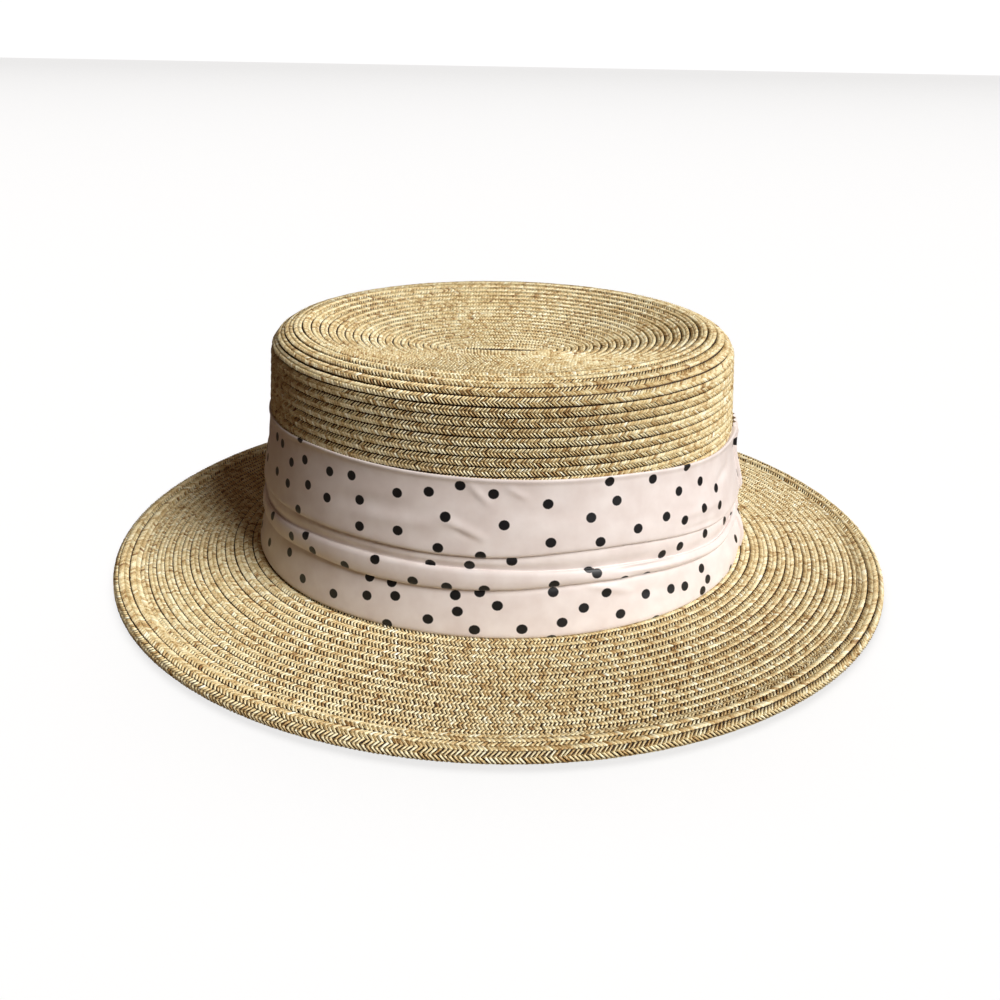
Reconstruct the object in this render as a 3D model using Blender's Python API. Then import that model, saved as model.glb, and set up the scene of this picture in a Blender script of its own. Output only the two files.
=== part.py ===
"""Straw boater with a pleated scarf band, as five closed solids that nest into one hat.

Metres, +Z up. X runs from the front to the back of the head, Y from ear to ear, and the
origin is on the surface that the hat rests on, under the middle of its box.
"""

import math
from typing import NamedTuple

import bmesh
import bpy
from mathutils import Vector

# Head hollow, inside the crown at its foot
HEAD_LENGTH = 0.1904
HEAD_WIDTH = 0.1604

# Sewn straw
STRAW_THICKNESS = 0.0022
CROWN_HEIGHT = 0.0900
CROWN_LEAN = 0.0076
RIM_HEIGHT = 0.0090
RIM_DEPTH = 0.0120
DISH_DEPTH = 0.0120
BUTTON_WIDTH = 0.0020
BRIM_WIDTH = 0.0620
BRIM_DROP = 0.0030
BRIM_SAG = 0.0003
BRIM_LIFT = 0.0011

# Doubled braid sewn round the brim
EDGE_WIDTH = 0.0075
EDGE_THICKNESS = 0.0042
EDGE_ROUND = 0.0013
EDGE_GROOVE = 0.0006
EDGE_GROOVE_WIDTH = 0.0020

# Pleated scarf round the crown
BAND_HEIGHT = 0.0590
BAND_FOOT_FULLNESS = 0.0044
BAND_TOP_FULLNESS = 0.0013
CLOTH_THICKNESS = 0.0010

# The scarf's end, turned over the place where its two ends meet
JOIN_ANGLE = math.radians(-6.0)
JOIN_WIDTH = 0.0150
JOIN_WAIST = 0.0105
JOIN_THICKNESS = 0.0012
JOIN_SWELL = 0.0007
JOIN_GATHER = 0.45
JOIN_REACH = math.radians(26.0)

# Clearance between neighbouring pieces, and the facets that round forms are made of
SEAT_GAP = 0.0003
FACETS = 72
RIM_STEPS = 4
DISH_STEPS = 4
JOIN_COLUMNS = 9
JOIN_ROWS = 11
BAND_INNER_STEPS = 3
SHARP_EDGE = math.radians(40.0)

OVALITY = (HEAD_LENGTH - HEAD_WIDTH) / 2
FOOT_OFFSET = HEAD_LENGTH / 2 + STRAW_THICKNESS
BRIM_EDGE_TOP = BRIM_LIFT + STRAW_THICKNESS
BRIM_FOOT_TOP = BRIM_EDGE_TOP + BRIM_DROP
CROWN_FOOT = BRIM_FOOT_TOP + SEAT_GAP
CROWN_TOP = CROWN_FOOT + CROWN_HEIGHT
EDGE_OUTER = FOOT_OFFSET + BRIM_WIDTH
EDGE_INNER = EDGE_OUTER - EDGE_WIDTH


class Fold(NamedTuple):
    """One line of the scarf's outer surface, which runs all round the crown."""

    name: str
    height: float
    fullness: float
    at_join: float
    gathers: bool


# From the foot up. height is a share of BAND_HEIGHT; fullness, and at_join where the ends
# meet, are shares of the room that the scarf has outside the crown at that height; a fold
# that gathers nears its fellows at the join.
FOLDS = (
    Fold("foot turned in", 0.000, 0.75, 0.80, False),
    Fold("foot hem", 0.030, 1.00, 1.05, False),
    Fold("lower panel", 0.170, 0.75, 1.00, False),
    Fold("lower panel under the roll", 0.285, 0.42, 0.70, True),
    Fold("crease under the roll", 0.305, 0.34, 0.36, True),
    Fold("roll, lower side", 0.320, 0.62, 0.55, True),
    Fold("roll, middle", 0.365, 0.84, 0.85, True),
    Fold("roll, upper side", 0.410, 0.66, 0.60, True),
    Fold("crease over the roll", 0.425, 0.40, 0.38, True),
    Fold("narrow pleat", 0.460, 0.64, 0.85, True),
    Fold("crease under the upper panel", 0.505, 0.42, 0.45, True),
    Fold("upper panel, lip", 0.525, 0.92, 1.30, True),
    Fold("upper panel, lower part", 0.600, 0.84, 1.25, True),
    Fold("upper panel, middle", 0.760, 0.62, 0.70, False),
    Fold("upper panel under the hem", 0.930, 0.76, 1.20, False),
    Fold("top hem", 0.985, 1.00, 1.70, False),
    Fold("top turned in", 1.000, 0.80, 1.20, False),
)
GATHER_HEIGHT = 0.45


def clear_scene():
    for existing in list(bpy.data.objects):
        bpy.data.objects.remove(existing, do_unlink=True)


def finish(name, colour, roughness):
    """A plain Principled material for one kind of straw or cloth."""
    material = bpy.data.materials.new(name)
    material.use_nodes = True
    shader = material.node_tree.nodes["Principled BSDF"]
    shader.inputs["Base Color"].default_value = (*colour, 1.0)
    shader.inputs["Roughness"].default_value = roughness
    shader.inputs["Metallic"].default_value = 0.0
    return material


def oval_point(offset, angle, height):
    """A point on the oval whose half length is offset; all ovals keep an even distance."""
    half_width = offset - OVALITY
    return Vector((offset * math.cos(angle), half_width * math.sin(angle), height))


def inset(section, distance):
    """The section moved to its right-hand side by a distance, with straight runs kept even."""
    moved = []
    for index, (offset, height) in enumerate(section):
        before = section[max(index - 1, 0)]
        after = section[min(index + 1, len(section) - 1)]
        along = Vector((after[0] - before[0], after[1] - before[1])).normalized()
        moved.append((offset + along.y * distance, height - along.x * distance))
    return moved


def add_object(name, mesh_data, material):
    bmesh.ops.recalc_face_normals(mesh_data, faces=mesh_data.faces)
    mesh = bpy.data.meshes.new(name)
    mesh_data.to_mesh(mesh)
    mesh_data.free()
    mesh.shade_smooth()
    mesh.set_sharp_from_angle(angle=SHARP_EDGE)
    piece = bpy.data.objects.new(name, mesh)
    piece.data.materials.append(material)
    bpy.context.scene.collection.objects.link(piece)
    return piece


def oval_body(name, section_at, material, capped=False):
    """A body swept round the oval; capped closes a section that starts and ends near the axis."""
    mesh_data = bmesh.new()
    columns = []
    for step in range(FACETS):
        angle = 2 * math.pi * step / FACETS
        points = [oval_point(offset, angle, height) for offset, height in section_at(angle)]
        columns.append([mesh_data.verts.new(point) for point in points])
    rows = len(columns[0])
    spans = rows - 1 if capped else rows
    for step, column in enumerate(columns):
        following = columns[(step + 1) % FACETS]
        for row in range(spans):
            above = (row + 1) % rows
            mesh_data.faces.new((column[row], following[row], following[above], column[above]))
    if capped:
        mesh_data.faces.new([column[0] for column in columns])
        mesh_data.faces.new([column[-1] for column in columns])
    return add_object(name, mesh_data, material)


def wall_offset(height):
    """Outer face of the crown's straight wall, height measured from the floor."""
    straight_height = CROWN_HEIGHT - RIM_HEIGHT
    return FOOT_OFFSET - CROWN_LEAN * (height - CROWN_FOOT) / straight_height


def crown_outer_section():
    """Foot, straight wall, rounded rim, then the dish that sinks to the button."""
    rim_start = CROWN_TOP - RIM_HEIGHT
    shoulder = wall_offset(rim_start)
    crest = shoulder - RIM_DEPTH
    button = max(OVALITY, 0.0) + BUTTON_WIDTH / 2
    section = [(FOOT_OFFSET, CROWN_FOOT)]
    for step in range(RIM_STEPS + 1):
        turn = math.pi / 2 * step / RIM_STEPS
        section.append((crest + RIM_DEPTH * math.cos(turn), rim_start + RIM_HEIGHT * math.sin(turn)))
    for step in range(1, DISH_STEPS + 1):
        offset = crest + (button - crest) * step / DISH_STEPS
        sink = DISH_DEPTH * (1 - (offset / crest) ** 2)
        section.append((offset, CROWN_TOP - sink))
    return section


def build_crown(straw):
    outer = crown_outer_section()
    inner = inset(outer, -STRAW_THICKNESS)
    inner[0] = (HEAD_LENGTH / 2, CROWN_FOOT)
    inner[-1] = (outer[-1][0], outer[-1][1] - STRAW_THICKNESS)
    section = list(reversed(outer)) + inner
    return oval_body("crown", lambda angle: section, straw, capped=True)


def build_brim(straw):
    """A shallow cone of straw whose inner edge is under the crown's foot."""
    inner = HEAD_LENGTH / 2
    outer = EDGE_INNER - SEAT_GAP
    middle = (inner + outer) / 2
    top = [
        (inner, BRIM_FOOT_TOP),
        (FOOT_OFFSET, BRIM_FOOT_TOP),
        (middle, (BRIM_FOOT_TOP + BRIM_EDGE_TOP) / 2 - BRIM_SAG),
        (outer, BRIM_EDGE_TOP),
    ]
    section = top + [(offset, height - STRAW_THICKNESS) for offset, height in reversed(top)]
    return oval_body("brim", lambda angle: section, straw)


def build_edge_braid(straw):
    """Two rows of braid on top of each other, flat below where the hat rests."""
    middle = EDGE_INNER + EDGE_WIDTH / 2
    groove_half = EDGE_GROOVE_WIDTH / 2
    section = [
        (EDGE_INNER, EDGE_ROUND),
        (EDGE_INNER + EDGE_ROUND, 0.0),
        (EDGE_OUTER - EDGE_ROUND, 0.0),
        (EDGE_OUTER, EDGE_ROUND),
        (EDGE_OUTER, EDGE_THICKNESS - EDGE_ROUND),
        (EDGE_OUTER - EDGE_ROUND, EDGE_THICKNESS),
        (middle + groove_half, EDGE_THICKNESS),
        (middle, EDGE_THICKNESS - EDGE_GROOVE),
        (middle - groove_half, EDGE_THICKNESS),
        (EDGE_INNER + EDGE_ROUND, EDGE_THICKNESS),
        (EDGE_INNER, EDGE_THICKNESS - EDGE_ROUND),
    ]
    return oval_body("edge_braid", lambda angle: section, straw)


def join_nearness(angle):
    """1 at the join, falling smoothly to 0 at JOIN_REACH on either side of it."""
    away = abs((angle - JOIN_ANGLE + math.pi) % (2 * math.pi) - math.pi)
    if away >= JOIN_REACH:
        return 0.0
    return (1 + math.cos(math.pi * away / JOIN_REACH)) / 2


def band_outer_section(angle):
    """The scarf's folds at one angle round the crown, from the foot up."""
    nearness = join_nearness(angle)
    section = []
    for fold in FOLDS:
        share = fold.height
        if fold.gathers:
            share += (GATHER_HEIGHT - share) * JOIN_GATHER * nearness
        height = CROWN_FOOT + SEAT_GAP + share * (BAND_HEIGHT - SEAT_GAP)
        room = BAND_FOOT_FULLNESS + (BAND_TOP_FULLNESS - BAND_FOOT_FULLNESS) * share
        fullness = fold.fullness + (fold.at_join - fold.fullness) * nearness
        stand_off = max(room * fullness, CLOTH_THICKNESS)
        section.append((wall_offset(height) + SEAT_GAP + stand_off, height))
    return section


def build_scarf_band(cloth):
    def section_at(angle):
        outer = band_outer_section(angle)
        foot = outer[0][1]
        top = outer[-1][1]
        inner = []
        for step in range(BAND_INNER_STEPS + 1):
            height = top + (foot - top) * step / BAND_INNER_STEPS
            inner.append((wall_offset(height) + SEAT_GAP, height))
        return outer + inner

    return oval_body("scarf_band", section_at, cloth)


def band_reach(angle, height, window):
    """How far the faceted band stands out near a height, on both facets beside an angle."""
    facet = 2 * math.pi / FACETS
    before = math.floor(angle / facet) * facet
    lowest = height - window
    highest = height + window
    reach = 0.0
    for column in (before, angle, before + facet):
        section = band_outer_section(column)
        for (offset, low), (next_offset, high) in zip(section, section[1:]):
            if high < lowest or low > highest:
                continue
            for level in (max(low, lowest), min(high, highest)):
                reach = max(reach, offset + (next_offset - offset) * (level - low) / (high - low))
    return reach


def build_scarf_join(cloth):
    """A strip of the scarf's own end, drawn in at its waist, over the folds where its ends meet."""
    mesh_data = bmesh.new()
    foot = CROWN_FOOT + SEAT_GAP
    step_up = (BAND_HEIGHT - SEAT_GAP) / (JOIN_ROWS - 1)
    columns = []
    for column_index in range(JOIN_COLUMNS):
        across = 2 * column_index / (JOIN_COLUMNS - 1) - 1
        swell = JOIN_THICKNESS + JOIN_SWELL * (1 - across * across)
        inner = []
        outer = []
        for row_index in range(JOIN_ROWS):
            share = row_index / (JOIN_ROWS - 1)
            width = JOIN_WIDTH - (JOIN_WIDTH - JOIN_WAIST) * math.sin(math.pi * share)
            angle = JOIN_ANGLE + across * width / 2 / FOOT_OFFSET
            height = foot + step_up * row_index
            offset = band_reach(angle, height, step_up) + SEAT_GAP
            inner.append(oval_point(offset, angle, height))
            outer.append(oval_point(offset + swell, angle, height))
        columns.append([mesh_data.verts.new(point) for point in inner + outer[::-1]])
    rows = len(columns[0])
    for column, following in zip(columns, columns[1:]):
        for row in range(rows):
            above = (row + 1) % rows
            mesh_data.faces.new((column[row], following[row], following[above], column[above]))
    mesh_data.faces.new(columns[0])
    mesh_data.faces.new(columns[-1])
    return add_object("scarf_join", mesh_data, cloth)


def main():
    clear_scene()
    straw = finish("sewn paper straw", (0.60, 0.46, 0.25), 0.72)
    edge_straw = finish("edge straw", (0.66, 0.51, 0.29), 0.68)
    satin = finish("blush satin", (0.82, 0.74, 0.70), 0.42)
    build_crown(straw)
    build_brim(straw)
    build_edge_braid(edge_straw)
    build_scarf_band(satin)
    build_scarf_join(satin)


main()
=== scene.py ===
"""The looks of a straw boater: plaited straw sewn in a spiral, and a pleated satin scarf.

Lengths are metres; what is named _MM is in millimetres, as a hat maker would measure it.
"""

import math
from typing import NamedTuple

import bpy
import numpy as np
from mathutils import Euler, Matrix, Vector


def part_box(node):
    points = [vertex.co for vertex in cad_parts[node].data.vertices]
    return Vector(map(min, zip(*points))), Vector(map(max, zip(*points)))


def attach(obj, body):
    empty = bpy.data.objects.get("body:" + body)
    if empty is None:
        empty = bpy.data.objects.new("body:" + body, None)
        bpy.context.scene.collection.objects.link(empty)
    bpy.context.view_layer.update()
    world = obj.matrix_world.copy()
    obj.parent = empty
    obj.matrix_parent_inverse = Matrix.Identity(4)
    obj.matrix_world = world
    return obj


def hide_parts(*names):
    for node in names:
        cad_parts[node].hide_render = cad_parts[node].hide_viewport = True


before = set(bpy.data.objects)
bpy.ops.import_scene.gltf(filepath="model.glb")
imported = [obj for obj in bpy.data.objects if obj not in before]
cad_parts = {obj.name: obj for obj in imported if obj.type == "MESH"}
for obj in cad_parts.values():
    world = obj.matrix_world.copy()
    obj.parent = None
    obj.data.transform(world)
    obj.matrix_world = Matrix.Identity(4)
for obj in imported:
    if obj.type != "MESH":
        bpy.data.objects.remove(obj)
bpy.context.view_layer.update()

MM = 0.001
RNG = np.random.default_rng(57)

# The solids that everything is laid on
CROWN_LOW, CROWN_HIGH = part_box("crown")
BRIM_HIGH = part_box("brim")[1]
EDGE_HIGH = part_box("edge_braid")[1]
BAND_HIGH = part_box("scarf_band")[1]
OVALITY = CROWN_HIGH.x - CROWN_HIGH.y
FOOT_OFFSET = CROWN_HIGH.x
MEAN_RADIUS = FOOT_OFFSET - OVALITY / 2
CROWN_FOOT = CROWN_LOW.z
CROWN_TOP = CROWN_HIGH.z
EDGE_OUTER = EDGE_HIGH.x
EDGE_TOP = EDGE_HIGH.z
BRIM_OUTER = BRIM_HIGH.x
BRIM_FOOT_TOP = BRIM_HIGH.z
BAND_HEIGHT = BAND_HIGH.z - CROWN_FOOT

# Forms of the solids that their boxes don't tell, as the part's source has them
STRAW_THICKNESS = 2.2 * MM
CROWN_LEAN = 7.6 * MM
RIM_HEIGHT = 9.0 * MM
RIM_DEPTH = 12.0 * MM
DISH_DEPTH = 12.0 * MM
BUTTON_WIDTH = 2.0 * MM
BRIM_DROP = 3.0 * MM
BRIM_SAG = 0.3 * MM
EDGE_WIDTH = 7.5 * MM
JOIN_ANGLE = math.radians(-6.0)
JOIN_REACH = math.radians(26.0)

# The plait: two legs to each V, sewn row over row
ROW_AT_BUTTON = 2.75 * MM
ROW_AT_RIM = 3.40 * MM
ROW_ON_WALL = 3.44 * MM
ROW_AT_CROWN = 4.00 * MM
ROW_AT_EDGE = 2.95 * MM
EDGE_START = 149.3 * MM
EDGE_ROWS = (0.0, 4.3 * MM, 8.5 * MM, 12.6 * MM, 16.4 * MM, 20.2 * MM)
V_ON_CROWN = 1.26 * MM
V_ON_BRIM = 1.38 * MM
V_ON_EDGE = 1.52 * MM
V_INSIDE = 1.50 * MM
SLANT_ON_CROWN = math.radians(48.0)
SLANT_ON_BRIM = math.radians(58.0)
STEP_ON_CROWN = 0.60 * MM
STEP_ON_BRIM = 0.28 * MM
STEP_ON_EDGE = 0.25 * MM
STRAND_HEIGHT = 0.42 * MM
STRAND_SINK = 0.25 * MM
STRAND_FILL = 0.72
OUTER_LEG_HEIGHT = 0.9
HALF_ROW = 0.49
MOST_ROWS = 60
FEWEST_VS = 6
LEAST_OVAL = 0.4 * MM
ARC_STEPS = 1440

# Open strip along each row's inner side, as a share of the row, where the painted shade on the solid beneath
# shows through as a dark line
GAP_ON_CROWN = 0.12
GAP_ON_BRIM = 0.05

# Where the stretches of plait meet or end
TOP_PAST_CREST = 0.35
WALL_COVERED = 0.80
BRIM_PLAIT_START = 1.2 * MM
BRIM_PLAIT_LAP = 0.6 * MM
UNDER_EDGE = 0.45 * MM

# How unevenly the straw is worked: shares of a V's pitch, of a strand's width, lean and height and
# of a row, and steps on the scale of tones, all as standard deviations
PITCH_SPREAD = 0.05
WIDTH_SPREAD = 0.07
LEAN_SPREAD = 0.06
HEIGHT_SPREAD = 0.12
PLACE_SPREAD = 0.010
TONE_SPREAD = 0.13
ROW_TONE_SPREAD = 0.03
MEAN_TONE = 0.56

# Slow waves of each row, as a share of its width, and how many of each there are round the hat
ROW_WAVE = 0.012
ROW_WAVES_ROUND = (2, 5, 13)

# Grain of the materials, counted along a millimetre, its contrast and its depth
BLOTCHES_PER_MM = 0.17
FLECKS_PER_MM = 1.9
SHADE_GRAIN_PER_MM = 0.9
CLOUDS_PER_MM = 0.12
THREADS_PER_MM = 2.6
BLOTCH_CONTRAST = 0.26
FLECK_CONTRAST = 0.90
FLECK_DEPTH = 0.15 * MM
THREAD_DEPTH = 0.08 * MM

# The scarf
DOT_RADIUS = 1.82 * MM
INK_SOFTNESS = 0.10 * MM
FAR_FROM_DOTS = 1.0
SCARF_COLUMNS = 620
SCARF_ROWS = 120
CURVE_STEPS = 8
LEAST_STAND = 0.35 * MM
JOIN_SWELL = 0.35

# The scarf's turned end: its waist is how much narrower it is at half its height
END_WIDTH = 15.0 * MM
END_WAIST = 4.5 * MM
END_FOOT = 0.4 * MM
END_REACH = 0.93
END_STAND = 0.9 * MM
END_PLEATS = 2.5
END_PLEAT_DEPTH = 0.55 * MM
END_HEM_START = 0.8
END_HEM_SINK = 0.45
END_COLUMNS = 41
END_ROWS = 90

# The camera, found from the outlines of brim, band and crown in the photo
CAMERA_PLACE = Vector((1.94, -372.0, 202.6)) * MM
CAMERA_TILT = 0.4589
CAMERA_TURN = 0.0052
CAMERA_ROLL = 0.0178
FOCAL_PIXELS = 967.7
PICTURE_PIXELS = 1000.0
SENSOR_MM = 36.0

# One broad window to the right and a little in front, and a dim white room
WINDOW_SIDE = math.radians(57.0)
WINDOW_HEIGHT = math.radians(38.0)
WINDOW_SPREAD = math.radians(36.0)
WINDOW_STRENGTH = 4.35
ROOM_STRENGTH = 0.10
FLOOR_GLOW = 0.78
BACKDROP_GLOW = 1.0
FLOOR_LEVEL = -0.4 * MM
FLOOR_LIGHT_HEIGHT = math.radians(48.0)
FLOOR_LIGHT_SPREAD = math.radians(70.0)
FLOOR_LIGHT_STRENGTH = 3.9
ROOM_COLOUR = "#F2C8AC"


def softened(values, reach):
    """Values evened out over a few neighbours on each side."""
    weights = np.hanning(2 * reach + 1)
    return np.convolve(np.pad(values, reach, mode="edge"), weights / weights.sum(), "valid")


class Line:
    """A hat's section line, from near the axis outwards, with the side that faces out on its left."""

    def __init__(self, points, samples=600):
        corners = np.array(points, float)
        steps = np.hypot(*np.diff(corners, axis=0).T)
        along = np.concatenate([[0.0], np.cumsum(steps)])
        self.length = along[-1]
        self.s = np.linspace(0.0, self.length, samples)
        self.r = np.interp(self.s, along, corners[:, 0])
        self.z = np.interp(self.s, along, corners[:, 1])
        slope_r = softened(np.gradient(self.r), 7)
        slope_z = softened(np.gradient(self.z), 7)
        size = np.hypot(slope_r, slope_z)
        self.normal_r = -slope_z / size
        self.normal_z = slope_r / size

    def at(self, s, lift):
        """Offset and height of points at arc lengths s, lifted off the line."""
        r = np.interp(s, self.s, self.r) + lift * np.interp(s, self.s, self.normal_r)
        z = np.interp(s, self.s, self.z) + lift * np.interp(s, self.s, self.normal_z)
        return r, z


def wall_offset(height):
    """How far out the crown's leaning wall stands at a height."""
    straight_height = CROWN_TOP - CROWN_FOOT - RIM_HEIGHT
    return FOOT_OFFSET - CROWN_LEAN * (height - CROWN_FOOT) / straight_height


def crown_points(depth):
    """The crown's section from button to foot, a depth inside its outer face."""
    rim_start = CROWN_TOP - RIM_HEIGHT
    crest = wall_offset(rim_start) - RIM_DEPTH
    points = []
    for offset in np.linspace(OVALITY + BUTTON_WIDTH / 2, crest, 24)[:-1]:
        sink = DISH_DEPTH * (1 - (offset / crest) ** 2)
        points.append((offset, CROWN_TOP - sink - depth))
    for turn in np.linspace(math.pi / 2, 0.0, 16):
        points.append((
            crest + (RIM_DEPTH - depth) * math.cos(turn),
            rim_start + (RIM_HEIGHT - depth) * math.sin(turn),
        ))
    points.append((FOOT_OFFSET - depth, CROWN_FOOT))
    return points


def brim_points(depth):
    """The brim's section from the crown outwards, a depth below its top."""
    inner = FOOT_OFFSET - STRAW_THICKNESS
    edge_top = BRIM_FOOT_TOP - BRIM_DROP
    middle = ((inner + BRIM_OUTER) / 2, (BRIM_FOOT_TOP + edge_top) / 2 - BRIM_SAG - depth)
    return [(inner, BRIM_FOOT_TOP - depth), (FOOT_OFFSET, BRIM_FOOT_TOP - depth), middle,
            (BRIM_OUTER, edge_top - depth)]


def edge_points():
    """Once round the doubled edge's section, from the brim's top out, down and back under."""
    return [
        (EDGE_START, EDGE_TOP - 0.70 * MM),
        (EDGE_START + 3.0 * MM, EDGE_TOP - 0.05 * MM),
        (EDGE_OUTER - 2.6 * MM, EDGE_TOP + 0.25 * MM),
        (EDGE_OUTER - 1.1 * MM, EDGE_TOP + 0.05 * MM),
        (EDGE_OUTER - 0.1 * MM, EDGE_TOP - 0.85 * MM),
        (EDGE_OUTER + 0.25 * MM, EDGE_TOP - 2.0 * MM),
        (EDGE_OUTER + 0.1 * MM, 1.1 * MM),
        (EDGE_OUTER - 0.7 * MM, UNDER_EDGE),
        (EDGE_OUTER - EDGE_WIDTH, UNDER_EDGE),
    ]


def oval(offset, angle, height):
    """Points on the ovals that lie an even distance apart, as rows of one braid do."""
    half_width = offset - OVALITY
    return np.stack([offset * np.cos(angle), half_width * np.sin(angle), height], -1)


class ArcTable:
    """Angle for a distance along one oval, so that strands are spaced evenly."""

    def __init__(self, offset):
        self.angle = np.linspace(0.0, 2 * math.pi, ARC_STEPS + 1)
        points = oval(offset, self.angle, np.zeros_like(self.angle))
        steps = np.linalg.norm(np.diff(points, axis=0), axis=1)
        self.along = np.concatenate([[0.0], np.cumsum(steps)])
        self.length = self.along[-1]

    def angle_at(self, distance):
        turns = np.floor(distance / self.length)
        rest = distance - turns * self.length
        return np.interp(rest, self.along, self.angle) + turns * 2 * math.pi


def rows_between(first_pitch, last_pitch, length):
    """Where each row's inner side lies, rows growing or drawing together along a line."""
    count = 2 * length / (first_pitch + last_pitch)
    gain = (last_pitch - first_pitch) / count / 2

    def place(row):
        turn = np.asarray(row, float)
        beyond = np.maximum(turn - count, 0.0)
        turn = np.minimum(turn, count)
        return turn * first_pitch + gain * turn * turn + beyond * last_pitch

    return place


def edge_rows(row):
    """Rows of the doubled edge, wide on top, closer below."""
    turn = np.asarray(row, float)
    last = len(EDGE_ROWS) - 1
    beyond = np.maximum(turn - last, 0.0) * (EDGE_ROWS[-1] - EDGE_ROWS[-2])
    before = np.minimum(turn, 0.0) * EDGE_ROWS[1]
    return np.interp(turn, np.arange(len(EDGE_ROWS)), EDGE_ROWS) + beyond + before


# One leg of a V seen from above: share of the way from selvage to the V's point, share of the
# strand's width, and share of its height, or -1 where it is sunk into the hat
LEG_FINE = np.array([
    (0.06, 0.00, -1.0), (0.06, 1.00, -1.0), (1.12, 1.00, -1.0), (1.12, 0.00, -1.0),
    (0.05, 0.24, 0.70), (0.05, 0.76, 0.70), (0.88, 0.76, 1.00), (0.88, 0.24, 1.00),
])
LEG_FINE_FACES = np.array([(4, 5, 6, 7), (0, 1, 5, 4), (1, 2, 6, 5), (2, 3, 7, 6), (3, 0, 4, 7)])
LEG_PLAIN = np.array([
    (0.00, 0.00, -1.0), (0.00, 1.00, -1.0), (1.08, 1.00, -1.0), (1.08, 0.00, -1.0),
    (0.18, 0.50, 0.75), (0.86, 0.50, 1.05),
])
LEG_PLAIN_FACES = np.array([(0, 1, 4, 4), (1, 2, 5, 4), (2, 3, 5, 5), (3, 0, 4, 5)])


class Plait(NamedTuple):
    """How one stretch of the sewn braid is laid on a section line."""

    line: Line
    rows: object
    start: float
    stop: float
    pitch: float
    slant: float
    step: float
    gap: float
    side: float = 1.0
    fine: bool = True
    spiral: float = 1.0


def row_legs(plait, row):
    """Vertices, faces, tints and bake places of one turn of the sewn braid."""
    template = LEG_FINE if plait.fine else LEG_PLAIN
    faces = LEG_FINE_FACES if plait.fine else LEG_PLAIN_FACES
    first_s, last_s = float(plait.rows(row)), float(plait.rows(row + 1.0 + plait.spiral))
    if last_s < plait.start or first_s > plait.stop:
        return None
    middle_s = np.clip((first_s + last_s) / 2, 0.0, plait.line.length)
    offset, _ = plait.line.at(middle_s, 0.0)
    table = ArcTable(max(float(offset), OVALITY + LEAST_OVAL))
    count = max(int(round(table.length / plait.pitch)), FEWEST_VS)
    pitch = table.length / count
    distance = (np.arange(count) + 0.5) * pitch + RNG.normal(0.0, PITCH_SPREAD * pitch, count)
    turn = plait.spiral * table.angle_at(distance) / (2 * math.pi)
    s_row = plait.rows(row + 0.5 + turn)
    kept = (s_row > plait.start) & (s_row < plait.stop)
    distance, turn = distance[kept], turn[kept]
    legs = len(distance)
    if not legs:
        return None
    lean = (last_s - first_s) / (1 + plait.spiral) / 2 / math.tan(plait.slant)
    wave_phase = RNG.uniform(0.0, 2 * math.pi, len(ROW_WAVES_ROUND))
    row_tint = RNG.normal(0.0, ROW_TONE_SPREAD)
    towards, across, height = template.T
    vertices, quads, tints, places = [], [], [], []
    for half in (-1.0, 1.0):
        width = pitch * STRAND_FILL * (1 + RNG.normal(0.0, WIDTH_SPREAD, legs))[:, None]
        own_lean = (1 + RNG.normal(0.0, LEAN_SPREAD, legs))[:, None]
        t = width * (across[None, :] - 0.5) - lean * towards[None, :] * own_lean
        spine = HALF_ROW + plait.gap / 2
        u = spine + half * (HALF_ROW - plait.gap / 2) * (1 - towards[None, :])
        u = u + RNG.normal(0.0, PLACE_SPREAD, legs)[:, None]
        angle = table.angle_at(distance[:, None] + t)
        wave = sum(ROW_WAVE * np.sin(n * angle + phase) for n, phase in zip(ROW_WAVES_ROUND, wave_phase))
        s = np.clip(plait.rows(row + u + wave + turn[:, None]), 0.0, plait.line.length)
        leg_height = 1.0 if half < 0 else OUTER_LEG_HEIGHT
        bulge = leg_height * (1 + RNG.normal(0.0, HEIGHT_SPREAD, legs))[:, None]
        rise = STRAND_HEIGHT * bulge * height[None, :]
        outward = u if plait.side > 0 else 1 - u
        top = plait.step * np.clip(outward, 0.0, 1.0) + rise
        lift = np.where(height[None, :] < 0, -STRAND_SINK, top) * plait.side
        offset, level = plait.line.at(s, lift)
        start = len(vertices) * legs * len(template)
        vertices.append(oval(offset, angle, level).reshape(-1, 3))
        leg_faces = faces[None] + (np.arange(legs) * len(template) + start)[:, None, None]
        leg_faces = leg_faces.reshape(-1, 4)
        quads.append(leg_faces if half * plait.side > 0 else leg_faces[:, ::-1])
        leg_tint = MEAN_TONE + row_tint + RNG.normal(0.0, TONE_SPREAD, legs)
        tints.append(np.repeat(leg_tint, len(template)))
        places.append(np.stack([angle / (2 * math.pi), s / plait.line.length], -1).reshape(-1, 2))
    return np.concatenate(vertices), np.concatenate(quads), np.concatenate(tints), np.concatenate(places)


def mesh_object(name, vertices, quads):
    """A mesh from arrays; a quad that names a vertex twice in a row is a triangle."""
    triangle = (quads[:, 2] == quads[:, 3])
    first = quads[:, 0] == quads[:, 1]
    corners = np.where(triangle | first, 3, 4)
    mesh = bpy.data.meshes.new(name)
    mesh.vertices.add(len(vertices))
    mesh.vertices.foreach_set("co", np.asarray(vertices, np.float32).ravel())
    keep = np.ones_like(quads, bool)
    keep[triangle, 3] = False
    keep[first, 0] = False
    loops = quads[keep]
    mesh.loops.add(len(loops))
    mesh.loops.foreach_set("vertex_index", loops.astype(np.int32))
    mesh.polygons.add(len(quads))
    starts = np.concatenate([[0], np.cumsum(corners)[:-1]])
    mesh.polygons.foreach_set("loop_start", starts.astype(np.int32))
    mesh.polygons.foreach_set("use_smooth", np.ones(len(quads), bool))
    mesh.update(calc_edges=True)
    mesh.validate()
    piece = bpy.data.objects.new(name, mesh)
    bpy.context.scene.collection.objects.link(piece)
    return piece


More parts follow.
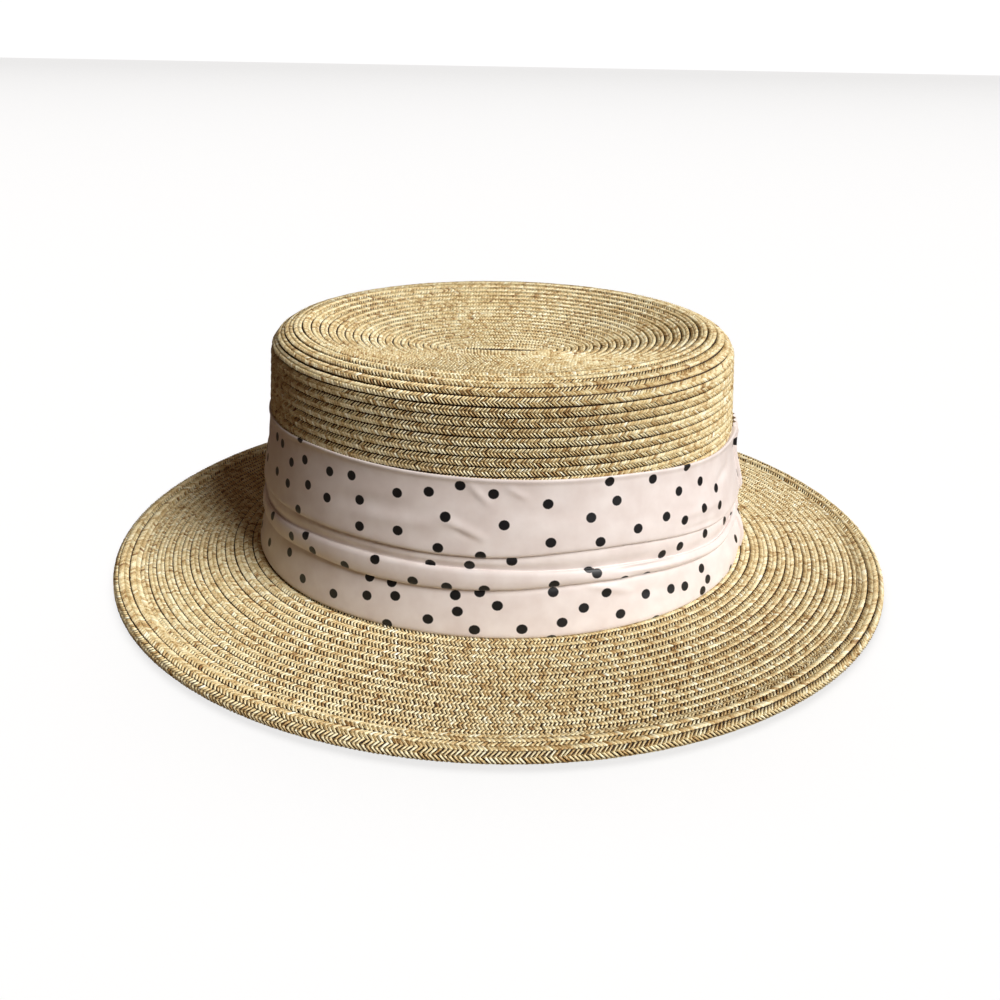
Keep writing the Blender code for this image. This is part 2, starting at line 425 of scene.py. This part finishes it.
def point_values(piece, name, values):
    """Stores one number for each vertex, for the materials to read."""
    layer = piece.data.attributes.new(name, "FLOAT", "POINT")
    layer.data.foreach_set("value", np.asarray(values, np.float32))


def bake_places(piece, places):
    """Places in the unit square, one region for each strand, for a texture made from the surface."""
    layer = piece.data.uv_layers.new(name="OFBake")
    index = np.zeros(len(piece.data.loops), np.int32)
    piece.data.loops.foreach_get("vertex_index", index)
    spread = places - places.min(0)
    spread = spread / np.maximum(spread.max(0), 1e-9) * 0.998 + 0.001
    layer.data.foreach_set("uv", spread[index].astype(np.float32).ravel())


def plaited_piece(name, plait, material):
    """All the rows of one stretch of braid, joined into one mesh."""
    parts = []
    for row in range(-2, MOST_ROWS):
        legs = row_legs(plait, row)
        if legs:
            parts.append(legs)
    starts = np.cumsum([0] + [len(part[0]) for part in parts])
    quads = np.concatenate([part[1] + start for part, start in zip(parts, starts)])
    piece = mesh_object(name, np.concatenate([part[0] for part in parts]), quads)
    point_values(piece, "tint", np.concatenate([part[2] for part in parts]))
    bake_places(piece, np.concatenate([part[3] for part in parts]))
    piece.data.materials.append(material)
    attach(piece, "root")


# Materials


def linear(hex_colour):
    """An sRGB hex colour as linear red, green, blue and full alpha."""
    values = [int(hex_colour[i:i + 2], 16) / 255 for i in (1, 3, 5)]
    return (*[v / 12.92 if v <= 0.04045 else ((v + 0.055) / 1.055) ** 2.4 for v in values], 1.0)


def node(tree, kind, links=None, **settings):
    """Adds a node, sets its properties or sockets by name, and links its sockets."""
    added = tree.nodes.new(kind)
    for key, value in settings.items():
        label = key.replace("_", " ")
        socket = next((s for s in added.inputs if s.name.lower() == label.lower() and s.enabled), None)
        if socket is not None and not hasattr(added, key):
            socket.default_value = value
        else:
            setattr(added, key, value)
    for target, source in (links or {}).items():
        tree.links.new(source, added.inputs[target])
    return added


def new_material(name):
    material = bpy.data.materials.new(name)
    material.use_nodes = True
    tree = material.node_tree
    return material, tree, tree.nodes["Principled BSDF"]


def ramp(tree, factor, stops):
    """A colour ramp of (place, hex colour) stops."""
    added = node(tree, "ShaderNodeValToRGB", {"Fac": factor})
    elements = added.color_ramp.elements
    while len(elements) < len(stops):
        elements.new(0.5)
    for element, (place, colour) in zip(elements, stops):
        element.position = place
        element.color = linear(colour)
    return added.outputs["Color"]


def paper_straw(name, stops, roughness):
    """Twisted paper straw, plaited: each strand has its own shade, with a dry, slightly waxed gloss."""
    material, tree, shader = new_material(name)
    tint = node(tree, "ShaderNodeAttribute", attribute_name="tint")
    place = node(tree, "ShaderNodeTexCoord").outputs["Object"]
    # Blotches about 6 mm across, from dyeing in the hank, and flecks about 0.5 mm, of the paper
    blotch = node(tree, "ShaderNodeTexNoise", {"Vector": place}, Scale=BLOTCHES_PER_MM / MM, Detail=2.0)
    fleck = node(tree, "ShaderNodeTexNoise", {"Vector": place}, Scale=FLECKS_PER_MM / MM, Detail=2.0)
    total = tint.outputs["Fac"]
    for noise, contrast in ((blotch, BLOTCH_CONTRAST), (fleck, FLECK_CONTRAST)):
        swing = node(tree, "ShaderNodeMath", {0: noise.outputs["Fac"]}, operation="MULTIPLY_ADD")
        swing.inputs[1].default_value = contrast
        swing.inputs[2].default_value = -contrast / 2
        total = node(tree, "ShaderNodeMath", {0: total, 1: swing.outputs[0]}, operation="ADD").outputs[0]
    colour = ramp(tree, total, stops)
    tree.links.new(colour, shader.inputs["Base Color"])
    bump = node(tree, "ShaderNodeBump", {"Height": fleck.outputs["Fac"]}, Strength=0.3, Distance=FLECK_DEPTH)
    tree.links.new(bump.outputs["Normal"], shader.inputs["Normal"])
    shader.inputs["Roughness"].default_value = roughness
    shader.inputs["IOR"].default_value = 1.5
    return material


def painted_shade_between_strands(name, dark, light):
    """Painted shade between the strands: a dark brown standing in for their shaded undersides."""
    material, tree, shader = new_material(name)
    place = node(tree, "ShaderNodeTexCoord").outputs["Object"]
    grain = node(tree, "ShaderNodeTexNoise", {"Vector": place}, Scale=SHADE_GRAIN_PER_MM / MM, Detail=2.0)
    # The two dark browns are painted shade, not the straw's own colour
    colour = ramp(tree, grain.outputs["Fac"], ((0.35, dark), (0.7, light)))
    tree.links.new(colour, shader.inputs["Base Color"])
    shader.inputs["Roughness"].default_value = 0.8
    return material


def dotted_satin(name):
    """Blush polyester satin: long floats give a soft sheen across the thread, dots are printed."""
    material, tree, shader = new_material(name)
    place = node(tree, "ShaderNodeTexCoord").outputs["Object"]
    edge = node(tree, "ShaderNodeAttribute", attribute_name="dot_edge")
    ink = node(tree, "ShaderNodeMapRange", {"Value": edge.outputs["Fac"]}, clamp=True)
    ink.inputs["From Min"].default_value = -INK_SOFTNESS
    ink.inputs["From Max"].default_value = INK_SOFTNESS
    ink.inputs["To Min"].default_value = 1.0
    ink.inputs["To Max"].default_value = 0.0
    # The real threads are finer; these are coarse enough to show
    cloud = node(tree, "ShaderNodeTexNoise", {"Vector": place}, Scale=CLOUDS_PER_MM / MM, Detail=3.0)
    thread = node(tree, "ShaderNodeTexNoise", {"Vector": place}, Scale=THREADS_PER_MM / MM, Detail=2.0)
    ground = ramp(tree, cloud.outputs["Fac"], ((0.3, "#DDD0CA"), (0.7, "#E9DFDA")))
    mixed = node(tree, "ShaderNodeMix", data_type="RGBA")
    tree.links.new(ink.outputs["Result"], mixed.inputs[0])
    tree.links.new(ground, mixed.inputs[6])
    mixed.inputs[7].default_value = linear("#08080C")
    tree.links.new(mixed.outputs[2], shader.inputs["Base Color"])
    bump = node(tree, "ShaderNodeBump", {"Height": thread.outputs["Fac"]}, Strength=0.12, Distance=THREAD_DEPTH)
    tree.links.new(bump.outputs["Normal"], shader.inputs["Normal"])
    shader.inputs["Roughness"].default_value = 0.46
    shader.inputs["Sheen Weight"].default_value = 0.08
    shader.inputs["Sheen Roughness"].default_value = 0.4
    return material


# The scarf


class Station(NamedTuple):
    """Where the scarf's fold lines run at one angle round the crown, as shares of its height."""

    degrees: float
    top: float
    lip: float
    roll_top: float
    roll_foot: float


STATIONS = (
    Station(-180, 1.000, 0.490, 0.380, 0.275),
    Station(-150, 1.000, 0.515, 0.392, 0.272),
    Station(-135, 1.018, 0.531, 0.430, 0.305),
    Station(-120, 1.012, 0.533, 0.440, 0.296),
    Station(-105, 1.002, 0.520, 0.434, 0.293),
    Station(-90, 0.995, 0.515, 0.427, 0.303),
    Station(-75, 0.985, 0.541, 0.415, 0.326),
    Station(-60, 0.970, 0.533, 0.400, 0.318),
    Station(-45, 0.935, 0.485, 0.345, 0.275),
    Station(-30, 0.905, 0.430, 0.300, 0.235),
    Station(-6, 0.920, 0.430, 0.350, 0.300),
    Station(30, 0.960, 0.480, 0.390, 0.290),
    Station(90, 0.990, 0.520, 0.430, 0.300),
    Station(150, 1.000, 0.500, 0.410, 0.290),
)


def station_values(angle):
    """Fold heights at any angle, smoothly between the stations."""
    degrees = (np.degrees(angle) + 180.0) % 360.0 - 180.0
    known = np.array(STATIONS)
    places = np.concatenate([known[:, 0] - 360, known[:, 0], known[:, 0] + 360])
    found = []
    for column in range(1, known.shape[1]):
        heights = np.tile(known[:, column], 3)
        dense = np.arange(-360.0, 361.0)
        curve = softened(np.interp(dense, places, heights), 9)
        found.append(np.interp(degrees, dense, curve))
    return found


class Crease(NamedTuple):
    """A soft ridge (or, where lift is negative, a groove) across the cloth."""

    from_degrees: float
    from_mm: float
    to_degrees: float
    to_mm: float
    half_width_mm: float
    lift_mm: float


CREASES = (
    Crease(-104, 45.0, -91, 36.0, 1.9, 0.55),
    Crease(-101, 41.5, -93, 35.5, 1.2, -0.35),
    Crease(-97, 57.5, -91, 48.0, 1.3, 0.40),
    Crease(-89, 56.0, -83, 50.5, 1.2, 0.35),
    Crease(-132, 43.0, -104, 47.0, 3.4, -0.45),
    Crease(-124, 40.0, -96, 42.0, 2.6, 0.35),
    Crease(-80, 57.5, -42, 55.0, 2.2, -0.30),
    Crease(-92, 47.0, -62, 45.0, 3.0, -0.25),
    Crease(-74, 19.8, -58, 11.5, 1.5, 0.50),
    Crease(-66, 12.8, -44, 9.0, 2.2, -0.35),
    Crease(-66.5, 23.2, -43, 19.8, 0.50, -1.10),
    Crease(-72, 20.8, -58, 18.6, 1.0, 0.45),
    Crease(-52, 37.0, -24, 33.0, 1.6, 0.40),
    Crease(-50, 31.5, -27, 27.0, 1.1, -0.35),
    Crease(-34, 40.0, -20, 45.0, 2.0, -0.50),
    Crease(50, 44.0, 78, 38.0, 2.0, 0.45),
    Crease(100, 50.0, 130, 46.0, 2.4, -0.40),
    Crease(118, 12.0, 150, 9.0, 2.0, 0.40),
    Crease(168, 44.0, 200, 47.0, 2.6, -0.40),
)


def crease_lift(angle, height):
    """How far the creases move the cloth out at places round and up the crown."""
    lift = np.zeros(np.broadcast(angle, height).shape)
    for crease in CREASES:
        middle = math.radians((crease.from_degrees + crease.to_degrees) / 2)
        half_arc = math.radians((crease.to_degrees - crease.from_degrees) / 2) * MEAN_RADIUS
        half_rise = (crease.to_mm - crease.from_mm) / 2 * MM
        length = math.hypot(half_arc, half_rise)
        away = (angle - middle + math.pi) % (2 * math.pi) - math.pi
        x = away * MEAN_RADIUS
        y = height - CROWN_FOOT - (crease.from_mm + crease.to_mm) / 2 * MM
        along = (x * half_arc + y * half_rise) / length / length
        across = (y * half_arc - x * half_rise) / length
        fade = np.clip(1 - along ** 2, 0.0, 1.0) ** 1.5
        width = crease.half_width_mm * MM
        lift = lift + crease.lift_mm * MM * fade * np.exp(-((across / width) ** 2))
    return lift


def join_nearness(angle):
    """1 where the scarf's ends meet, falling to 0 at the join's reach."""
    away = np.abs((angle - JOIN_ANGLE + math.pi) % (2 * math.pi) - math.pi)
    return np.where(away < JOIN_REACH, (1 + np.cos(math.pi * away / JOIN_REACH)) / 2, 0.0)


def scarf_profile(angle):
    """The scarf's section at each angle: points (share of height, stand-off in mm), foot to top."""
    top, lip, roll_top, roll_foot = station_values(angle)
    near = join_nearness(angle)
    swell = 1 + JOIN_SWELL * near
    pleat = (lip + roll_top) / 2
    roll = (roll_top + roll_foot) / 2
    return [
        (0.004, 2.9),
        (0.003, 4.0),
        (0.030, 4.5),
        (0.100, 4.0 * swell),
        (0.5 * roll_foot + 0.02, 3.3 * swell),
        (roll_foot - 0.045, 2.3),
        (roll_foot - 0.012, 1.5),
        (roll_foot + 0.004, 1.2),
        (roll_foot, 2.2),
        (roll_foot + 0.006, 2.9),
        (roll_foot + 0.025, 3.4),
        (roll, 3.6),
        (roll_top - 0.022, 3.3),
        (roll_top - 0.004, 2.8),
        (roll_top + 0.003, 2.1),
        (roll_top - 0.006, 1.5),
        (roll_top + 0.012, 1.6),
        (pleat, 2.1),
        (lip - 0.020, 1.8),
        (lip - 0.002, 1.2),
        (lip + 0.006, 1.2),
        (lip - 0.004, 2.2),
        (lip + 0.002, 2.8),
        (lip + 0.025, 3.1 * swell),
        (lip + 0.100, 2.7 * swell),
        ((top + lip) / 2 + 0.02, 1.7),
        (top - 0.120, 1.1 + 0.2 * near),
        (top - 0.045, 1.0 + 0.9 * near),
        (top - 0.018, 1.4 + 1.3 * near),
        (top - 0.003, 1.2 + 1.2 * near),
        (top - 0.008, 0.6),
    ]


def smooth_through(points, samples):
    """A Catmull-Rom curve through points, sampled evenly along its length."""
    points = np.asarray(points)
    padded = np.concatenate([points[:1] * 2 - points[1:2], points, points[-1:] * 2 - points[-2:-1]])
    t = np.linspace(0.0, 1.0, CURVE_STEPS + 1)[:-1, None]
    pieces = []
    for p0, p1, p2, p3 in zip(padded, padded[1:], padded[2:], padded[3:]):
        pieces.append(0.5 * (2 * p1 + (p2 - p0) * t + (2 * p0 - 5 * p1 + 4 * p2 - p3) * t * t
                             + (3 * p1 - p0 - 3 * p2 + p3) * t ** 3))
    dense = np.concatenate(pieces + [points[-1:]])
    along = np.concatenate([[0.0], np.cumsum(np.hypot(*np.diff(dense, axis=0).T))])
    wanted = np.linspace(0.0, along[-1], samples)
    curve = np.stack([np.interp(wanted, along, dense[:, 0]), np.interp(wanted, along, dense[:, 1])], -1)
    return curve, along[-1]


def scarf_grid(angles, samples):
    """Offsets, heights and distances across the cloth, one row of the arrays for each angle."""
    columns = scarf_profile(angles)
    shares = np.stack([np.broadcast_to(share, angles.shape) for share, _ in columns], 1)
    stands = np.stack([np.broadcast_to(stand, angles.shape) for _, stand in columns], 1)
    offsets = np.zeros((len(angles), samples))
    heights = np.zeros((len(angles), samples))
    across = np.zeros((len(angles), samples))
    for index, angle in enumerate(angles):
        profile = np.stack([stands[index] * MM, shares[index] * BAND_HEIGHT], -1)
        curve, length = smooth_through(profile, samples)
        height = CROWN_FOOT + curve[:, 1]
        stand = curve[:, 0] + crease_lift(angle, height)
        offsets[index] = wall_offset(height) + np.maximum(stand, LEAST_STAND)
        heights[index] = height
        across[index] = np.linspace(0.0, length, samples)
    return offsets, heights, across


# Printed dots, as (degrees round the crown, mm above its foot), in the scatter of the cloth
DOTS = (
    (-155.2, 53.2), (-151.0, 52.7), (-145.0, 48.6), (-139.2, 52.4), (-130.1, 51.7), (-152.6, 41.1),
    (-145.7, 40.0), (-137.0, 44.1), (-130.2, 42.1), (-139.9, 32.7), (-153.8, 21.4), (-136.8, 24.1),
    (-142.2, 20.4), (-133.9, 19.5), (-144.0, 12.6), (-156.0, 8.5), (-137.0, 6.1), (-126.8, 6.1),
    (-163.5, 40.5), (-167.8, 42.0), (-141.2, 59.5), (-124.0, 19.0), (-123.6, 53.2), (-121.1, 44.8),
    (-120.4, 35.7), (-118.1, 9.9), (-118.1, 16.2), (-116.3, 24.9), (-112.8, 1.4), (-112.7, 16.2),
    (-111.9, 50.1), (-111.5, 12.2), (-111.2, 37.1), (-107.5, 19.4), (-104.8, 52.2), (-104.0, 5.7),
    (-104.1, 26.0), (-102.3, 33.0), (-101.0, 44.1), (-100.3, 19.0), (-98.6, 15.4), (-98.0, 9.6),
    (-98.1, 55.4), (-95.8, 26.8), (-94.4, 3.7), (-93.5, 31.2), (-92.6, 18.9), (-93.6, 16.8),
    (-91.1, 53.3), (-89.9, 12.3), (-88.8, 42.2), (-87.1, 29.0), (-84.9, 4.1), (-79.7, 49.3),
    (-78.9, -0.6), (-79.2, 36.2), (-78.4, 20.0), (-78.4, 16.6), (-76.7, 5.5), (-72.0, 9.8),
    (-70.8, 24.6), (-69.2, 23.0), (-70.4, 43.2), (-68.5, 34.4), (-66.8, 14.3), (-66.0, 55.5),
    (-63.8, 5.4), (-64.3, 48.1), (-62.8, 18.8), (-59.4, 37.0), (-57.1, 10.3), (-57.0, 18.0),
    (-54.9, -1.0), (-54.8, 53.3), (-52.1, 23.4), (-51.4, 38.4), (-50.0, 9.1), (-46.6, 24.3),
    (-46.9, 46.1), (-45.7, 8.0), (-45.7, 34.5), (-44.1, 54.1), (-39.6, 2.6), (-38.7, 10.9),
    (-38.7, 46.2), (-38.1, 35.7), (-37.1, 5.5), (-36.7, 23.9), (-29.9, -2.0), (-31.1, 39.4),
    (-30.1, 32.1), (-24.0, 1.0), (-25.1, 22.1), (-16.8, 9.0), (-15.9, 20.2), (-13.0, 48.0),
    (-9.0, 33.0), (-3.0, 14.0), (2.0, 44.0), (6.0, 26.0), (11.0, 7.0), (12.0, 52.0),
)
END_DOTS = ((-9.0, 47.0), (-3.5, 38.0), (-8.0, 24.0), (-3.0, 12.0))

# The print repeats on the far side of the crown, so many degrees on
DOT_REPEAT = 180.0


def dot_distance(angles, heights, across):
    """Distance of each place on the cloth from the nearest dot's edge, negative inside a dot."""
    nearest = np.full(heights.shape, FAR_FROM_DOTS)
    for shift in (0.0, DOT_REPEAT):
        for degrees, mm in DOTS:
            centre = math.radians(degrees + shift)
            away = (angles - centre + math.pi) % (2 * math.pi) - math.pi
            close = np.where(np.abs(away) * MEAN_RADIUS < 3 * DOT_RADIUS)[0]
            column = int(np.argmin(np.abs(away)))
            level = CROWN_FOOT + mm * MM
            row = int(np.argmin(np.abs(heights[column] - level)))
            x = away[close][:, None] * MEAN_RADIUS
            y = across[close] - across[column, row]
            nearest[close] = np.minimum(nearest[close], np.hypot(x, y) - DOT_RADIUS)
    return nearest


def grid_quads(columns, rows, closed):
    """Quads between neighbouring columns of a grid; closed joins the last column to the first."""
    count = columns if closed else columns - 1
    column = np.arange(count)[:, None]
    row = np.arange(rows - 1)[None, :]
    following = (column + 1) % columns
    return np.stack([column * rows + row, following * rows + row,
                     following * rows + row + 1, column * rows + row + 1], -1).reshape(-1, 4)


def build_scarf(satin):
    angles = np.linspace(-math.pi, math.pi, SCARF_COLUMNS, endpoint=False)
    offsets, heights, across = scarf_grid(angles, SCARF_ROWS)
    points = oval(offsets, angles[:, None], heights).reshape(-1, 3)
    piece = mesh_object("scarf", points, grid_quads(SCARF_COLUMNS, SCARF_ROWS, True))
    point_values(piece, "dot_edge", dot_distance(angles, heights, across).ravel())
    around = np.broadcast_to((angles[:, None] + math.pi) / (2 * math.pi), heights.shape)
    bake_places(piece, np.stack([around, across / across.max()], -1).reshape(-1, 2))
    piece.data.materials.append(satin)
    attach(piece, "root")
    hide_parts("scarf_band")


def build_join(satin):
    """The scarf's end turned over the gathered folds: a narrow strip with soft upright pleats."""
    across = np.linspace(-1.0, 1.0, END_COLUMNS)
    share = np.linspace(0.0, 1.0, END_ROWS)
    width = END_WIDTH - END_WAIST * np.sin(math.pi * share)
    angles = JOIN_ANGLE + across[:, None] * width[None, :] / 2 / FOOT_OFFSET
    heights = np.broadcast_to(CROWN_FOOT + END_FOOT + share * (BAND_HEIGHT * END_REACH), angles.shape)
    offsets, levels, _ = scarf_grid(np.array([JOIN_ANGLE]), 200)
    reach = softened(np.interp(heights[0], levels[0], offsets[0] - wall_offset(levels[0])), 6)
    pleats = END_PLEAT_DEPTH * np.cos(across[:, None] * END_PLEATS * math.pi)
    hem = np.clip(np.abs(across[:, None]) - END_HEM_START, 0, 1) / (1 - END_HEM_START)
    stand = (reach[None, :] + END_STAND + pleats) * (1 - END_HEM_SINK * hem)
    offsets = wall_offset(heights) + stand
    points = oval(offsets, angles, heights).reshape(-1, 3)
    piece = mesh_object("scarf_end", points, grid_quads(END_COLUMNS, END_ROWS, False))
    spots = np.full(angles.shape, FAR_FROM_DOTS)
    for degrees, mm in END_DOTS:
        x = (angles - math.radians(degrees)) * FOOT_OFFSET
        y = heights - CROWN_FOOT - mm * MM
        spots = np.minimum(spots, np.hypot(x, y) - DOT_RADIUS)
    point_values(piece, "dot_edge", spots.ravel())
    bake_places(piece, np.stack([np.broadcast_to(across[:, None], angles.shape),
                                 np.broadcast_to(share[None, :], angles.shape)], -1).reshape(-1, 2))
    piece.data.materials.append(satin)
    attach(piece, "root")
    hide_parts("scarf_join")


# The straw


def build_straw(straw, ground):
    crown_line = Line(crown_points(0.0))
    inside_line = Line(crown_points(STRAW_THICKNESS))
    brim_line = Line(brim_points(0.0))
    under_line = Line(brim_points(STRAW_THICKNESS))
    edge_line = Line(edge_points())
    crest = int(np.argmax(crown_line.z))
    rim = crown_line.s[crest] + RIM_DEPTH * TOP_PAST_CREST
    hem_level = CROWN_FOOT + BAND_HEIGHT * WALL_COVERED
    hem = float(np.interp(-hem_level, -crown_line.z[crest:], crown_line.s[crest:]))
    crown_rows = rows_between(ROW_AT_BUTTON, ROW_ON_WALL, rim)
    brim_rows = rows_between(ROW_AT_CROWN, ROW_AT_EDGE, brim_line.length)
    inside_rows = rows_between(ROW_AT_RIM, ROW_AT_RIM, inside_line.length)
    brim_end = EDGE_START - brim_line.r[0] + BRIM_PLAIT_LAP

    on_crown = (V_ON_CROWN, SLANT_ON_CROWN, STEP_ON_CROWN, GAP_ON_CROWN)
    on_brim = (V_ON_BRIM, SLANT_ON_BRIM, STEP_ON_BRIM, GAP_ON_BRIM)
    on_edge = (V_ON_EDGE, SLANT_ON_CROWN, STEP_ON_EDGE, GAP_ON_BRIM)
    within = (V_INSIDE, SLANT_ON_BRIM, STEP_ON_BRIM, GAP_ON_BRIM, -1.0, False)
    stretches = (
        ("crown_top_plait", Plait(crown_line, crown_rows, 0.0, rim, *on_crown)),
        ("crown_wall_plait", Plait(crown_line, crown_rows, rim, hem, *on_crown)),
        ("brim_plait", Plait(brim_line, brim_rows, BRIM_PLAIT_START, brim_end, *on_brim)),
        ("brim_under_plait", Plait(under_line, brim_rows, 0.0, under_line.length, *within)),
        ("crown_inside_plait", Plait(inside_line, inside_rows, 0.0, inside_line.length, *within)),
        ("edge_plait", Plait(edge_line, edge_rows, 0.0, edge_line.length, *on_edge, spiral=0.0)),
    )
    for name, plait in stretches:
        plaited_piece(name, plait, straw)
    # The solids under the braid are coloured with painted shade, which shows through the gaps between strands
    # and rows
    for name in ("crown", "brim", "edge_braid"):
        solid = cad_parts[name]
        solid.data.materials.clear()
        solid.data.materials.append(ground)


# The studio


def glowing_white(name, glow):
    """Painted board, with a glow of its own that keeps its shadows pale."""
    material, _, shader = new_material(name)
    shader.inputs["Base Color"].default_value = linear("#8A8A8A")
    shader.inputs["Roughness"].default_value = 0.9
    shader.inputs["Emission Color"].default_value = linear("#FFFFFF")
    shader.inputs["Emission Strength"].default_value = glow
    return material


def build_stage():
    """A white floor and backdrop, which send no light back to the hat."""
    half, depth, rise = 6.0, 5.0, 4.0
    corners = [(-half, -half, 0), (half, -half, 0), (half, depth, 0), (-half, depth, 0),
               (half, depth, rise), (-half, depth, rise)]
    mesh = bpy.data.meshes.new("floor")
    mesh.from_pydata(corners, [], [(0, 1, 2, 3), (3, 2, 4, 5)])
    mesh.materials.append(glowing_white("studio floor", FLOOR_GLOW))
    mesh.materials.append(glowing_white("studio backdrop", BACKDROP_GLOW))
    mesh.polygons[1].material_index = 1
    floor = bpy.data.objects.new("floor", mesh)
    bpy.context.scene.collection.objects.link(floor)
    floor.location.z = FLOOR_LEVEL
    floor.visible_diffuse = False
    floor.visible_glossy = False
    world = bpy.data.worlds.new("studio")
    world.use_nodes = True
    world.node_tree.nodes["Background"].inputs["Color"].default_value = linear(ROOM_COLOUR)
    world.node_tree.nodes["Background"].inputs["Strength"].default_value = ROOM_STRENGTH
    bpy.context.scene.world = world
    return floor


def add_sun(name, side, height, spread, strength, floor, floor_state):
    """A far light; floor_state says whether it lights the floor alone or everything but the floor."""
    sun = bpy.data.lights.new(name, "SUN")
    sun.angle = spread
    sun.energy = strength
    lamp = bpy.data.objects.new(name, sun)
    bpy.context.scene.collection.objects.link(lamp)
    flat = math.cos(height)
    towards = Vector((flat * math.sin(side), -flat * math.cos(side), math.sin(height)))
    lamp.location = towards
    lamp.rotation_euler = towards.to_track_quat("Z", "Y").to_euler()
    lit = bpy.data.collections.new(name)
    lit.objects.link(floor)
    lit.collection_objects[0].light_linking.link_state = floor_state
    lamp.light_linking.receiver_collection = lit


def build_lights(floor):
    add_sun("window", WINDOW_SIDE, WINDOW_HEIGHT, WINDOW_SPREAD, WINDOW_STRENGTH, floor, "EXCLUDE")
    add_sun("over the floor", math.pi, FLOOR_LIGHT_HEIGHT, FLOOR_LIGHT_SPREAD, FLOOR_LIGHT_STRENGTH,
            floor, "INCLUDE")


def build_camera():
    camera = bpy.data.cameras.new("camera")
    camera.sensor_width = SENSOR_MM
    camera.lens = FOCAL_PIXELS / PICTURE_PIXELS * SENSOR_MM
    camera.clip_start = 0.01
    holder = bpy.data.objects.new("camera", camera)
    bpy.context.scene.collection.objects.link(holder)
    holder.location = CAMERA_PLACE
    turn = Euler((math.pi / 2 - CAMERA_TILT, 0.0, CAMERA_TURN), "XYZ").to_matrix()
    roll = Euler((0.0, 0.0, CAMERA_ROLL), "XYZ").to_matrix()
    holder.rotation_euler = (turn @ roll).to_euler()
    bpy.context.scene.camera = holder
    bpy.context.scene.view_settings.view_transform = "Standard"


def main():
    build_camera()
    floor = build_stage()
    build_lights(floor)
    straw_stops = (
        (0.00, "#6B4526"),
        (0.25, "#A8824B"),
        (0.48, "#D8BF8A"),
        (0.72, "#F0E3B8"),
        (1.00, "#FFFBE4"),
    )
    straw = paper_straw("plaited paper straw", straw_stops, 0.50)
    # Painted shade for the solids that show between the strands
    ground = painted_shade_between_strands("straw in shade", "#1E1209", "#4A3118")
    satin = dotted_satin("blush satin with navy dots")
    build_straw(straw, ground)
    build_scarf(satin)
    build_join(satin)


main()
